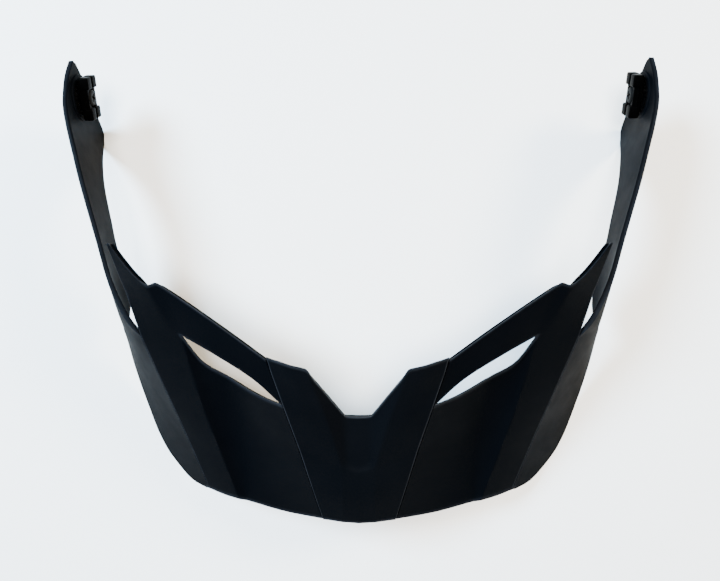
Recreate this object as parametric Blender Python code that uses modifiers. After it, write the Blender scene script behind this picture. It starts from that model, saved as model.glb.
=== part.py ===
"""Peak (visor) of a mountain-bike helmet, off the helmet and lying on its edge, upper side up.

Frame: X to the wearer's left and right, +Y towards the back of the head, +Z up.
The origin is the middle of the underside of the bounding box. Lengths below are millimetres.

The upper surface is a net of style lines. Each facet is a patch stretched between four of
them, and each moulding is a set of patches given a wall thickness.
"""
import math

import bmesh
import bpy
from mathutils import Matrix, Vector

MM = 0.001

# Walls and clearances
BLADE_WALL = 2.0
ARM_WALL = 1.8
PANEL_WALL = 1.2
PANEL_PROUD = 0.8          # height of the centre panel above the facets beside it
POCKET_DEPTH = 1.1         # depth of the blade's recess below those facets
POCKET_INSET = 0.4         # slope of the recess wall, measured across
PANEL_INSET = 0.75         # distance of the panel's edge from the style line
GAP = 0.3                  # clearance between neighbouring pieces

# Fastenings of the arms and the centre panel; depths are below the outer surface
ARM_BOSS_RADIUS = 3.2
ARM_BOSS_END = 3.2
TAB_TOP = ARM_BOSS_END + GAP
TAB_THICKNESS = 2.0
TAB_HALF_WIDTH = 4.0
TAB_INNER_REACH = 4.2
TAB_OUTER_REACH = 17.0     # trimmed back inside the arm's wall
TAB_COVER = 0.3            # wall left outside the end of a tab
SCREW_RADIUS = 1.5
SCREW_HEAD_RADIUS = 2.9
SCREW_HEAD_HEIGHT = 1.6
SCREW_BORE = SCREW_RADIUS + GAP
SKIN_OVER_BORE = 1.0       # material left between a blind bore and the outer surface
PANEL_BOSS_RADIUS = 2.5
PANEL_BOSS_END = 3.6
PANEL_SCREW_RADIUS = 1.0
PANEL_SCREW_HEAD_RADIUS = 3.6
PANEL_SCREW_HEAD_HEIGHT = 1.4
PANEL_SCREW_SEAT = 4.5

# Pivot at the end of each arm: its axis runs along X
PIVOT_Y = 73.6
PIVOT_Z = 25.0
PAD_FACE_X = 103.9         # flat inner face of the pad
PAD_SPOT_RADIUS = 9.6      # spot face that clears the turning plug
PAD_BOSS_RADIUS = 8.6
PAD_BOSS_FACE_X = 107.3
RING_OUTER = 6.7
RING_INNER = 3.6
RING_BASE = 0.7
RING_TOOTH = 0.5
RING_TEETH = 24
RING_POCKET_DEPTH = RING_BASE + RING_TOOTH + GAP
PLUG_LENGTH = 15.6
PLUG_HEIGHT = 9.0
PLUG_TILT = math.radians(25.0)
PLUG_FOOT_X = PAD_FACE_X - GAP
PLUG_WEB_X = 100.4         # face of the plug between its two end blocks
PLUG_END_X = 99.6          # face of the end blocks
PLUG_BLOCK_LENGTH = 4.4
PLUG_SEAT_X = 102.3        # floor of the counterbore for the pivot screw's head
PLUG_SEAT_RADIUS = 3.6
WASHER_OUTER = 3.1
WASHER_INNER = 1.9
WASHER_THICKNESS = 0.3
WASHER_WAVE = 0.12
PIVOT_HEAD_RADIUS = 3.0
PIVOT_HEAD_HEIGHT = 1.2
PIVOT_TIP_X = 106.2

# Style lines of the right half, from the brim (front) backwards
CENTRE_FRONT = [(0.0, -85.1, 27.0), (0.0, -74.0, 33.2), (0.0, -64.4, 37.2)]
CREASE_FRONT = [(6.0, -84.9, 26.5), (5.8, -73.5, 33.3), (5.8, -62.3, 38.0)]
CREASE_REAR = [(5.8, -62.3, 38.0), (10.5, -44.0, 47.4), (16.8, -25.6, 57.0)]
FLOOR_CENTRE = [(0.0, -61.5, 36.5), (0.0, -52.0, 40.8), (0.0, -42.8, 44.0)]
FLOOR_EDGE = [(3.9, -60.7, 37.0), (4.4, -52.0, 40.8), (4.6, -42.6, 44.1)]
PANEL_SIDE_FRONT = [(13.9, -84.3, 25.0), (17.6, -70.0, 32.3), (21.3, -55.5, 39.0)]
PANEL_SIDE_MIDDLE = [(21.3, -55.5, 39.0), (26.1, -38.3, 48.0)]
PANEL_SIDE_REAR = [(26.1, -38.3, 48.0), (30.9, -22.0, 54.0)]
SCOOP_FOOT = [(43.9, -80.7, 14.5), (45.6, -48.0, 27.0), (47.6, -29.2, 37.0)]
SCOOP_TOP = [(46.7, -80.0, 15.5), (51.7, -61.5, 23.4), (56.5, -43.3, 31.4), (61.6, -14.4, 45.6)]
SCOOP_TOP_REAR = [(61.6, -14.4, 45.6), (64.9, -5.0, 49.0), (67.9, 3.0, 52.0)]
RIDGE = [(59.4, -77.2, 10.5), (66.3, -54.2, 19.6), (73.1, -31.7, 30.0), (78.1, -15.3, 37.3)]
RIDGE_REAR = [(78.1, -15.3, 37.3), (80.0, -7.4, 40.0), (81.8, 0.0, 42.2)]
FIN_OUTER = [(81.8, 0.0, 42.2), (84.6, 9.6, 45.0), (87.0, 17.4, 46.9)]
FIN_INNER = [(71.7, 2.6, 51.3), (75.2, 5.2, 50.6), (80.6, 10.6, 49.0), (86.4, 17.6, 47.2)]
# Edges of the blade, from the centre plane outwards
BRIM_FLOOR = [(13.9, -84.3, 25.0), (28.5, -83.4, 19.4), (43.9, -80.7, 14.5)]
BRIM_SCOOP = [(43.9, -80.7, 14.5), (46.7, -80.0, 15.5)]
BRIM_SIDE = [(46.7, -80.0, 15.5), (53.0, -78.9, 13.1), (59.4, -77.2, 10.5)]
LIP_FLOOR = [(26.1, -38.3, 48.0), (34.8, -35.6, 43.2), (41.2, -32.8, 39.6), (47.6, -29.2, 37.0)]
LIP_SCOOP = [(47.6, -29.2, 37.0), (54.6, -25.0, 39.0), (61.6, -14.4, 45.6)]
BAR_FRONT = [(26.1, -38.3, 48.0), (35.0, -30.0, 48.8), (48.6, -21.3, 48.4), (61.6, -14.4, 45.6)]
BAR_REAR = [(30.9, -22.0, 54.0), (42.6, -13.6, 53.7), (55.4, -4.7, 53.0), (67.9, 3.0, 52.0)]
REAR_PANEL = [(16.8, -25.6, 57.0), (23.0, -24.2, 56.6), (30.9, -22.0, 54.0)]
REAR_WALL = [(4.6, -42.6, 44.1), (10.9, -33.7, 50.8), (16.8, -25.6, 57.0)]
# Outer surface of an arm. Its upper edge follows the ridge as far as the slit beside the fin
ARM_BOTTOM_FRONT = [
    (60.9, -77.2, 9.3), (67.4, -75.0, 5.6), (73.6, -70.0, 2.4), (78.7, -64.0, 1.0),
    (82.9, -56.2, 0.6), (86.0, -47.5, 1.5), (90.2, -30.7, 6.3), (92.3, -14.0, 13.5),
]
ARM_TOP_REAR = [
    (82.5, -10.8, 38.0), (86.8, -3.0, 38.3), (90.3, 5.9, 38.5), (93.4, 17.9, 39.3),
    (95.5, 26.0, 40.0), (99.5, 40.1, 40.0), (102.3, 50.8, 39.5), (104.6, 59.7, 39.0),
    (106.3, 67.8, 38.0), (106.7, 74.0, 36.6), (106.7, 79.5, 34.4), (106.4, 85.2, 30.6),
]
ARM_BOTTOM_REAR = [
    (92.1, -9.0, 12.8), (92.0, -2.6, 12.2), (92.7, 5.0, 14.2), (94.8, 18.0, 19.6),
    (96.3, 26.5, 20.5), (99.9, 41.0, 18.0), (102.9, 51.5, 12.5), (105.2, 60.5, -0.2),
    (105.9, 66.0, -0.2), (106.1, 72.5, 9.5), (106.3, 79.0, 20.5), (106.3, 84.9, 28.8),
]
ARM_BULGE = 2.4            # how far the flank stands out at half height, most at ARM_BULGE_Y
ARM_BULGE_Y = -8.0
ARM_BULGE_SPREAD = 18.0
ARM_ROWS_FRONT = 12
ARM_STEPS = 2              # rows between two points of an arm's rear part
ARM_COLUMNS = 4

# Rows and columns of the patches
ROWS_FRONT = 5             # brim to the front of the valley
ROWS_MIDDLE = 3            # on to the vent slit
ROWS_REAR = 4              # on to the rear edge
ROWS_FIN = 5
ROWS_TO_SLIT = ROWS_FRONT + ROWS_MIDDLE
ROWS_VALLEY = ROWS_MIDDLE + ROWS_REAR


# --- curves, patches and frames -------------------------------------------------------------

def smooth_line(points, rows):
    """Points along a smooth curve through `points`, `rows` steps in all, evenly spaced."""
    points = [Vector(p) for p in points]
    spans = [b - a for a, b in zip(points, points[1:])]
    chords = [span.length for span in spans]
    slopes = [span / chord for span, chord in zip(spans, chords)]
    tangents = [slopes[0]]
    for i in range(1, len(slopes)):
        weight = chords[i] / (chords[i - 1] + chords[i])
        tangents.append(slopes[i - 1] * weight + slopes[i] * (1.0 - weight))
    tangents.append(slopes[-1])
    total = sum(chords)
    result = []
    for row in range(rows + 1):
        along = total * row / rows
        i = 0
        while i < len(chords) - 1 and along > chords[i]:
            along -= chords[i]
            i += 1
        s = min(along / chords[i], 1.0)
        rise = s * s * (3.0 - 2.0 * s)
        start = points[i] + (points[i + 1] - points[i]) * rise
        leave = tangents[i] * (s * (1.0 - s) ** 2)
        arrive = tangents[i + 1] * (s * s * (s - 1.0))
        result.append(start + (leave + arrive) * chords[i])
    return result


def patch(south, north, west, east):
    """Grid of points stretched between four edge curves; its rows run from south to north."""
    rows, columns = len(west) - 1, len(south) - 1
    grid = []
    for j in range(rows + 1):
        v = j / rows
        line = []
        for i in range(columns + 1):
            u = i / columns
            across = south[i].lerp(north[i], v)
            along = west[j].lerp(east[j], u)
            corners = south[0].lerp(south[-1], u).lerp(north[0].lerp(north[-1], u), v)
            line.append(across + along - corners)
        grid.append(line)
    return grid


def straight(start, end, columns):
    """Evenly spaced points from `start` to `end`."""
    return [start.lerp(end, i / columns) for i in range(columns + 1)]


def shifted(points, x=0.0, z=0.0):
    """A copy of a line of points, moved sideways and up."""
    return [Vector(p) + Vector((x, 0.0, z)) for p in points]


def seat(grid, row, column, side=1):
    """Frame on a patch: local Z out of the surface, local X outwards across the patch."""
    a, b = grid[row][column], grid[row][column + 1]
    c, d = grid[row + 1][column + 1], grid[row + 1][column]
    middle = (a + b + c + d) / 4.0
    normal = (c - a).cross(d - b).normalized()
    across = ((b + c) - (a + d)).normalized()
    flip = Vector((side, 1.0, 1.0))
    return frame_at(middle * flip, normal * flip, across * flip)


def frame_at(origin, z_axis, x_axis):
    """Right-handed frame in metres from an origin in millimetres and two directions."""
    z_axis = Vector(z_axis).normalized()
    y_axis = z_axis.cross(Vector(x_axis)).normalized()
    x_axis = y_axis.cross(z_axis)
    turn = Matrix((x_axis, y_axis, z_axis)).transposed().to_4x4()
    return Matrix.Translation(Vector(origin) * MM) @ turn


# --- meshes and objects ---------------------------------------------------------------------

def new_collection(name):
    collection = bpy.data.collections.new(name)
    bpy.context.scene.collection.children.link(collection)
    return collection


def material(name, colour, roughness, metallic=0.0):
    made = bpy.data.materials.new(name)
    made.use_nodes = True
    shader = made.node_tree.nodes["Principled BSDF"]
    shader.inputs["Base Color"].default_value = (*colour, 1.0)
    shader.inputs["Roughness"].default_value = roughness
    shader.inputs["Metallic"].default_value = metallic
    return made


def finish_object(name, bm, collection, surface=None):
    mesh = bpy.data.meshes.new(name)
    bm.to_mesh(mesh)
    bm.free()
    made = bpy.data.objects.new(name, mesh)
    collection.objects.link(made)
    if surface:
        mesh.materials.append(surface)
    else:
        made.hide_render = True
        made.display_type = "WIRE"
    return made


def skin(grids, side=1):
    """Open surface from patches that share edges; `side` -1 gives its mirror image."""
    bm = bmesh.new()
    for grid in grids:
        points = [[bm.verts.new((p.x * side * MM, p.y * MM, p.z * MM)) for p in line] for line in grid]
        for lower, upper in zip(points, points[1:]):
            for i in range(len(lower) - 1):
                face = [lower[i], lower[i + 1], upper[i + 1], upper[i]]
                bm.faces.new(face if side > 0 else face[::-1])
    bmesh.ops.remove_doubles(bm, verts=bm.verts, dist=0.02 * MM)
    return bm


def add_rod(bm, frame, radius, low, high, segments=24):
    """Closed cylinder about the frame's Z axis, between two heights on it."""
    place = frame @ Matrix.Translation((0, 0, (low + high) / 2 * MM))
    bmesh.ops.create_cone(bm, cap_ends=True, segments=segments, radius1=radius * MM,
                          radius2=radius * MM, depth=(high - low) * MM, matrix=place)


def add_box(bm, frame, low, high):
    """Closed box between two corners given in the frame."""
    low, high = Vector(low), Vector(high)
    place = frame @ Matrix.Translation((low + high) / 2 * MM) @ Matrix.Diagonal((high - low) * MM).to_4x4()
    bmesh.ops.create_cube(bm, size=1.0, matrix=place)


def boolean(target, tool, operation):
    modifier = target.modifiers.new(operation.lower() + "_" + tool.name, "BOOLEAN")
    modifier.operation = operation
    modifier.object = tool


def thicken(target, wall, outside=0.0):
    """Wall below the surface, and `outside` above it."""
    modifier = target.modifiers.new("wall", "SOLIDIFY")
    modifier.thickness = (wall + outside) * MM
    modifier.offset = -1.0 + 2.0 * outside / (wall + outside)
    modifier.solidify_mode = "NON_MANIFOLD"
    modifier.nonmanifold_thickness_mode = "CONSTRAINTS"


def mirror(target):
    modifier = target.modifiers.new("mirror", "MIRROR")
    modifier.merge_threshold = 0.02 * MM
    modifier.use_clip = True


def turned(name, profile, frame, collection, surface, segments=24):
    """Turned piece: the profile runs down its outer side, as (radius, height) in the frame."""
    bm = bmesh.new()
    points = [bm.verts.new((r * MM, 0.0, z * MM)) for r, z in profile]
    for a, b in zip(points, points[1:]):
        bm.edges.new((a, b))
    if profile[0][0] > 0.0:
        bm.edges.new((points[-1], points[0]))
    made = finish_object(name, bm, collection, surface)
    made.matrix_world = frame
    spin = made.modifiers.new("turn", "SCREW")
    spin.steps = segments
    spin.render_steps = segments
    spin.use_merge_vertices = True
    spin.merge_threshold = 0.01 * MM
    spin.use_normal_calculate = True
    return made


# --- blade and centre panel -----------------------------------------------------------------

def centre_patches(inset, lift):
    """Right half of the centre field with its valley, narrowed by `inset` and moved up."""
    def line(points, rows):
        return smooth_line(shifted(points, z=lift), rows)

    def side(points, rows):
        return smooth_line(shifted(points, x=-inset, z=lift), rows)

    centre = line(CENTRE_FRONT, ROWS_FRONT)
    crease = line(CREASE_FRONT, ROWS_FRONT)
    crease_rear = line(CREASE_REAR, ROWS_VALLEY)
    edge = side(PANEL_SIDE_FRONT, ROWS_FRONT)
    edge_rear = side(PANEL_SIDE_MIDDLE, ROWS_MIDDLE) + side(PANEL_SIDE_REAR, ROWS_REAR)[1:]
    floor_centre = line(FLOOR_CENTRE, ROWS_VALLEY)
    floor_edge = line(FLOOR_EDGE, ROWS_VALLEY)
    valley_front = straight(centre[-1], crease[-1], 2)
    valley_foot = straight(floor_centre[0], floor_edge[0], 2)
    valley_corner = straight(floor_edge[0], crease[-1], 3)
    beside_valley = straight(crease[-1], edge[-1], 3)
    brim_outer = straight(crease[0], edge[0], 3)
    rear = smooth_line(shifted(REAR_PANEL[:-1], z=lift) + [edge_rear[-1]], 3)
    front_field = patch(straight(centre[0], crease[0], 2), valley_front, centre, crease)
    side_field = patch(brim_outer, beside_valley, crease, edge)
    rear_field = patch(beside_valley, rear, crease_rear, edge_rear)
    wall = patch(valley_corner, line(REAR_WALL, 3), floor_edge, crease_rear)
    floor = patch(valley_foot, straight(floor_centre[-1], floor_edge[-1], 2), floor_centre, floor_edge)
    corner_side = [crease[-1].lerp(floor_edge[0], i / 3) for i in range(4)]
    step = patch(valley_front, valley_foot, straight(centre[-1], floor_centre[0], 3), corner_side)
    return [front_field, side_field, rear_field, wall, floor, step]


def facet_patches(clearance=0.0):
    """Right half of the blade's facets outside the centre field; `clearance` widens the ridge."""
    def outer(points, rows):
        return smooth_line(shifted(points, x=clearance), rows)

    panel_side = smooth_line(PANEL_SIDE_FRONT, ROWS_FRONT) + smooth_line(PANEL_SIDE_MIDDLE, ROWS_MIDDLE)[1:]
    panel_side_rear = smooth_line(PANEL_SIDE_REAR, ROWS_REAR)
    scoop_foot = smooth_line(SCOOP_FOOT, ROWS_TO_SLIT)
    scoop_top = smooth_line(SCOOP_TOP, ROWS_TO_SLIT)
    scoop_rear = smooth_line(SCOOP_TOP_REAR, ROWS_REAR)
    ridge = outer(RIDGE, ROWS_TO_SLIT)
    ridge_rear = outer(RIDGE_REAR, ROWS_REAR)
    fin_outer = outer(FIN_OUTER, ROWS_FIN)
    notch = Vector(FIN_INNER[0])
    across_side = straight(scoop_top[-1], ridge[-1], 3)
    fin_root = straight(notch, ridge_rear[-1], 2)
    floor = patch(smooth_line(BRIM_FLOOR, 5), smooth_line(LIP_FLOOR, 5), panel_side, scoop_foot)
    scoop = patch(smooth_line(BRIM_SCOOP, 3), smooth_line(LIP_SCOOP, 3), scoop_foot, scoop_top)
    side = patch(smooth_line(BRIM_SIDE[:-1] + [ridge[0]], 3), across_side, scoop_top, ridge)
    side_rear = patch(across_side, [scoop_rear[-1]] + fin_root, scoop_rear, ridge_rear)
    bar = patch(smooth_line(BAR_FRONT, 8), smooth_line(BAR_REAR, 8), panel_side_rear, scoop_rear)
    fin_tip = straight(Vector(FIN_INNER[-1]), fin_outer[-1], 2)
    fin = patch(fin_root, fin_tip, smooth_line(FIN_INNER, ROWS_FIN), fin_outer)
    return {"floor": floor, "scoop": scoop, "side": side, "side_rear": side_rear, "bar": bar, "fin": fin}


def pocket_wall():
    """Narrow strip that steps down from the facets to the recess for the centre panel."""
    def side(inset, lift):
        lines = [smooth_line(shifted(points, x=-inset, z=lift), rows) for points, rows in (
            (PANEL_SIDE_FRONT, ROWS_FRONT), (PANEL_SIDE_MIDDLE, ROWS_MIDDLE), (PANEL_SIDE_REAR, ROWS_REAR))]
        return lines[0] + lines[1][1:] + lines[2][1:]

    low, high = side(POCKET_INSET, -POCKET_DEPTH), side(0.0, 0.0)
    return [[a, b] for a, b in zip(low, high)]


def arm_seats(facets, side):
    """Frames of the two arm screws on the side facet, on the outer surface."""
    return [seat(facets["side"], row, 1, side) for row in (2, 6)]


def panel_seat(side):
    """Frame of a centre panel screw, on the panel's outer surface."""
    side_field = centre_patches(PANEL_INSET, PANEL_PROUD)[1]
    return seat(side_field, 2, 0, side)


def make_blade(parts, cutters, facets, surface):
    grids = list(facets.values()) + [pocket_wall()] + centre_patches(POCKET_INSET, -POCKET_DEPTH)
    blade = finish_object("blade", skin(grids), parts, surface)
    mirror(blade)
    thicken(blade, BLADE_WALL)
    bosses, bores = bmesh.new(), bmesh.new()
    for side in (1, -1):
        for frame in arm_seats(facets, side):
            add_rod(bosses, frame, ARM_BOSS_RADIUS, -ARM_BOSS_END, -1.2)
            add_rod(bores, frame, SCREW_BORE, -ARM_BOSS_END - 1.0, -SKIN_OVER_BORE)
        add_rod(bores, panel_seat(side), PANEL_BOSS_RADIUS + GAP, -9.0, 2.0)
    boolean(blade, finish_object("blade_bosses", bosses, cutters), "UNION")
    boolean(blade, finish_object("blade_bores", bores, cutters), "DIFFERENCE")


def make_centre_panel(parts, cutters, surface):
    panel = finish_object("centre_panel", skin(centre_patches(PANEL_INSET, PANEL_PROUD)), parts, surface)
    mirror(panel)
    thicken(panel, PANEL_WALL)
    bosses, bores = bmesh.new(), bmesh.new()
    for side in (1, -1):
        frame = panel_seat(side)
        add_rod(bosses, frame, PANEL_BOSS_RADIUS, -PANEL_BOSS_END, -0.7)
        add_rod(bores, frame, PANEL_SCREW_RADIUS + GAP, -PANEL_BOSS_END - 1.0, -SKIN_OVER_BORE)
    boolean(panel, finish_object("panel_bosses", bosses, cutters), "UNION")
    boolean(panel, finish_object("panel_bores", bores, cutters), "DIFFERENCE")


# --- arms -----------------------------------------------------------------------------------

def arm_patch():
    top = smooth_line(shifted(RIDGE, x=GAP, z=-GAP / 2), ARM_ROWS_FRONT)
    bottom = smooth_line(ARM_BOTTOM_FRONT, ARM_ROWS_FRONT)
    top += through_points([top[-1]] + ARM_TOP_REAR, ARM_STEPS)[1:]
    bottom += through_points([bottom[-1]] + ARM_BOTTOM_REAR, ARM_STEPS)[1:]
    south = straight(top[0], bottom[0], ARM_COLUMNS)
    north = straight(top[-1], bottom[-1], ARM_COLUMNS)
    grid = patch(south, north, top, bottom)
    for line in grid:
        for i, point in enumerate(line):
            share = i / ARM_COLUMNS
            away = (point.y - ARM_BULGE_Y) / ARM_BULGE_SPREAD
            point.x += ARM_BULGE * 4.0 * share * (1.0 - share) * math.exp(-away * away)
    return grid


def through_points(points, steps):
    """Smooth line with `steps` rows between each two points, so that edges stay paired."""
    points = [Vector(p) for p in points]
    result = [points[0]]
    for i in range(len(points) - 1):
        before = points[max(i - 1, 0)]
        after = points[min(i + 2, len(points) - 1)]
        a, b = points[i], points[i + 1]
        chord = (b - a).length
        leave = ((b - before).normalized() if i else (b - a).normalized()) * chord
        arrive = ((after - a).normalized()) * chord
        for step in range(1, steps + 1):
            s = step / steps
            rise = s * s * (3.0 - 2.0 * s)
            bend = leave * (s * (1.0 - s) ** 2) + arrive * (s * s * (s - 1.0))
            result.append(a.lerp(b, rise) + bend)
    return result


def pivot_frame(side):
    """Frame of a pivot: origin on the centre plane, local Z outwards along the axis."""
    return frame_at((0.0, PIVOT_Y, PIVOT_Z), (side, 0.0, 0.0), (0.0, side * 1.0, 0.0))


def make_arm(name, side, parts, cutters, facets, keep_clear, surface):
    arm = finish_object(name, skin([arm_patch()], side), parts, surface)
    thicken(arm, ARM_WALL)
    boolean(arm, keep_clear, "DIFFERENCE")
    outside = finish_object(name + "_outside", skin([arm_patch()], side), cutters)
    thicken(outside, TAB_COVER, 8.0)
    tabs, bores, disc = bmesh.new(), bmesh.new(), bmesh.new()
    for frame in arm_seats(facets, side):
        low = (-TAB_INNER_REACH, -TAB_HALF_WIDTH, -TAB_TOP - TAB_THICKNESS)
        add_box(tabs, frame, low, (TAB_OUTER_REACH, TAB_HALF_WIDTH, -TAB_TOP))
        add_rod(bores, frame, SCREW_BORE, -TAB_TOP - TAB_THICKNESS - 1.0, -TAB_TOP + 1.0)
    pivot = pivot_frame(side)
    add_rod(disc, pivot, PAD_BOSS_RADIUS, PAD_FACE_X + 0.4, PAD_BOSS_FACE_X, 40)
    add_rod(bores, pivot, PAD_SPOT_RADIUS, PLUG_END_X - 4.0, PAD_FACE_X, 48)
    tab_pair = finish_object(name + "_tabs", tabs, cutters)
    boolean(tab_pair, outside, "DIFFERENCE")
    boolean(tab_pair, keep_clear, "DIFFERENCE")
    boolean(arm, tab_pair, "UNION")
    boolean(arm, finish_object(name + "_disc", disc, cutters), "UNION")
    boolean(arm, finish_object(name + "_bores", bores, cutters), "DIFFERENCE")
    pocket, bore = bmesh.new(), bmesh.new()
    add_rod(pocket, pivot, RING_OUTER + GAP, PAD_FACE_X - 1.0, PAD_FACE_X + RING_POCKET_DEPTH, 40)
    add_rod(bore, pivot, SCREW_BORE, PAD_FACE_X, PIVOT_TIP_X + GAP)
    boolean(arm, finish_object(name + "_ring_pocket", pocket, cutters), "DIFFERENCE")
    boolean(arm, finish_object(name + "_pivot_bore", bore, cutters), "DIFFERENCE")
    under = bmesh.new()
    add_box(under, Matrix.Identity(4), (side * 106.0 - 60.0, -120.0, -20.0), (side * 106.0 + 60.0, 120.0, 0.0))
    boolean(arm, finish_object(name + "_ground_cut", under, cutters), "DIFFERENCE")


# --- pivots ---------------------------------------------------------------------------------

def make_index_ring(name, side, parts, cutters, surface):
    """Toothed ring that sits in the pad's pocket, with its teeth towards the plug."""
    frame = pivot_frame(side)
    back = PAD_FACE_X + RING_POCKET_DEPTH - GAP
    face = back - RING_BASE
    profile = [(RING_OUTER, back), (RING_OUTER, face), (RING_INNER, face), (RING_INNER, back)]
    ring = turned(name, profile, frame, parts, surface, 40)
    teeth = bmesh.new()
    for i in range(RING_TEETH):
        place = frame @ Matrix.Rotation(2.0 * math.pi * i / RING_TEETH, 4, "Z")
        add_box(teeth, place, (RING_INNER + 0.5, -0.28, face - RING_TOOTH), (RING_OUTER - 0.4, 0.28, face + 0.2))
    boolean(ring, finish_object(name + "_teeth", teeth, cutters), "UNION")


def make_plug(name, side, parts, cutters, surface):
    """Key-shaped plug that enters the helmet's socket: a bar with a block at each end."""
    frame = pivot_frame(side) @ Matrix.Rotation(side * PLUG_TILT, 4, "Z")
    half, tall = PLUG_LENGTH / 2, PLUG_HEIGHT / 2
    body = bmesh.new()
    add_box(body, frame, (-half + 0.6, -tall + 0.5, PLUG_WEB_X), (half - 0.6, tall - 0.5, PLUG_FOOT_X))
    plug = finish_object(name, body, parts, surface)
    blocks, bores = bmesh.new(), bmesh.new()
    for end in (-1, 1):
        inner = end * (half - PLUG_BLOCK_LENGTH)
        low, high = sorted((inner, end * half))
        add_box(blocks, frame, (low, -tall, PLUG_END_X), (high, tall, PLUG_FOOT_X - 0.4))
    add_rod(bores, frame, PLUG_SEAT_RADIUS, PLUG_END_X - 1.0, PLUG_SEAT_X)
    boolean(plug, finish_object(name + "_blocks", blocks, cutters), "UNION")
    boolean(plug, finish_object(name + "_seat", bores, cutters), "DIFFERENCE")
    bore = bmesh.new()
    add_rod(bore, frame, SCREW_BORE, PLUG_END_X - 1.0, PLUG_FOOT_X + 1.0)
    boolean(plug, finish_object(name + "_bore", bore, cutters), "DIFFERENCE")


def make_wave_washer(name, side, parts, surface, segments=36):
    """Spring washer: a thin flat ring bent into three waves."""
    frame = pivot_frame(side)
    middle = PLUG_SEAT_X - GAP - WASHER_WAVE - WASHER_THICKNESS / 2
    bm = bmesh.new()
    rings = []
    for i in range(segments):
        angle = 2.0 * math.pi * i / segments
        lift = middle + WASHER_WAVE * math.cos(3.0 * angle)
        section = []
        for radius, rise in ((WASHER_OUTER, 0.5), (WASHER_OUTER, -0.5), (WASHER_INNER, -0.5), (WASHER_INNER, 0.5)):
            point = Vector((radius * math.cos(angle), radius * math.sin(angle), lift + rise * WASHER_THICKNESS))
            section.append(bm.verts.new(frame @ (point * MM)))
        rings.append(section)
    for a, b in zip(rings, rings[1:] + rings[:1]):
        for k in range(4):
            bm.faces.new((a[k], a[(k + 1) % 4], b[(k + 1) % 4], b[k]))
    bmesh.ops.recalc_face_normals(bm, faces=bm.faces)
    finish_object(name, bm, parts, surface)


def add_drive(screw, cutters, frame, head_top, depth, reach=1.5, width=0.45):
    """Cross-shaped recess in a screw's head."""
    cross = bmesh.new()
    for turn in (0.0, math.pi / 2):
        place = frame @ Matrix.Rotation(turn, 4, "Z")
        add_box(cross, place, (-reach, -width, head_top - 1.0), (reach, width, head_top + depth))
    star = finish_object(screw.name + "_drive", cross, cutters)
    boolean(screw, star, "DIFFERENCE")
    screw.modifiers[-1].use_self = True    # the two bars of the cross run through each other


def make_screw(name, frame, seat_depth, tip_depth, sizes, parts, cutters, surface):
    """Pan-head screw driven from below: head under `seat_depth`, shank up to `tip_depth`."""
    shank, head, height = sizes
    foot = -seat_depth - height
    profile = [
        (0.0, -tip_depth), (shank * 0.6, -tip_depth), (shank, -tip_depth - 0.5), (shank, -seat_depth),
        (head, -seat_depth), (head, foot + height * 0.45), (head * 0.82, foot), (0.0, foot),
    ]
    screw = turned(name, profile, frame, parts, surface)
    add_drive(screw, cutters, frame, foot, height * 0.6, reach=head * 0.5, width=head * 0.14)


def make_pivot_screw(name, side, parts, cutters, surface):
    """Screw on the pivot's axis, with its head sunk in the plug."""
    frame = pivot_frame(side)
    under = PLUG_SEAT_X - 2.0 * GAP - 2.0 * WASHER_WAVE - WASHER_THICKNESS
    top = under - PIVOT_HEAD_HEIGHT
    profile = [
        (0.0, PIVOT_TIP_X), (SCREW_RADIUS * 0.6, PIVOT_TIP_X), (SCREW_RADIUS, PIVOT_TIP_X - 0.6),
        (SCREW_RADIUS, under), (PIVOT_HEAD_RADIUS, under), (PIVOT_HEAD_RADIUS, top + 0.5),
        (PIVOT_HEAD_RADIUS * 0.8, top), (0.0, top),
    ]
    screw = turned(name, profile, frame, parts, surface)
    add_drive(screw, cutters, frame, top, 0.7)


# --- assembly -------------------------------------------------------------------------------

def clear_scene():
    for item in list(bpy.data.objects):
        bpy.data.objects.remove(item, do_unlink=True)


def main():
    clear_scene()
    parts = new_collection("cycling_helmet_visor")
    cutters = new_collection("cutters")
    shell = material("matte_black_shell", (0.012, 0.014, 0.018), 0.55)
    gloss = material("gloss_black_plug", (0.008, 0.008, 0.009), 0.22)
    resin = material("black_acetal", (0.02, 0.02, 0.022), 0.4)
    steel = material("blackened_steel", (0.08, 0.08, 0.085), 0.35, 1.0)
    spring = material("spring_steel", (0.45, 0.45, 0.46), 0.3, 1.0)

    facets = facet_patches()
    make_blade(parts, cutters, facets, shell)
    make_centre_panel(parts, cutters, shell)
    keep_clear = finish_object("blade_clearance", skin(facet_patches(GAP).values()), cutters)
    mirror(keep_clear)
    thicken(keep_clear, BLADE_WALL + GAP, GAP)

    screw_sizes = (SCREW_RADIUS, SCREW_HEAD_RADIUS, SCREW_HEAD_HEIGHT)
    panel_screw_sizes = (PANEL_SCREW_RADIUS, PANEL_SCREW_HEAD_RADIUS, PANEL_SCREW_HEAD_HEIGHT)
    for label, side in (("left", -1), ("right", 1)):
        make_arm("arm_" + label, side, parts, cutters, facets, keep_clear, shell)
        for place, frame in zip(("front", "rear"), arm_seats(facets, side)):
            make_screw(f"arm_screw_{place}_{label}", frame, TAB_TOP + TAB_THICKNESS + GAP,
                       SKIN_OVER_BORE + GAP, screw_sizes, parts, cutters, steel)
        make_screw("panel_screw_" + label, panel_seat(side), PANEL_SCREW_SEAT, SKIN_OVER_BORE + GAP,
                   panel_screw_sizes, parts, cutters, steel)
        make_index_ring("index_ring_" + label, side, parts, cutters, resin)
        make_plug("plug_" + label, side, parts, cutters, gloss)
        make_wave_washer("wave_washer_" + label, side, parts, spring)
        make_pivot_screw("pivot_screw_" + label, side, parts, cutters, steel)


main()
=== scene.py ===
import math

import bmesh
import bpy
import numpy as np
from mathutils import Matrix, Vector
from mathutils.bvhtree import BVHTree
from mathutils.kdtree import KDTree


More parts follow.
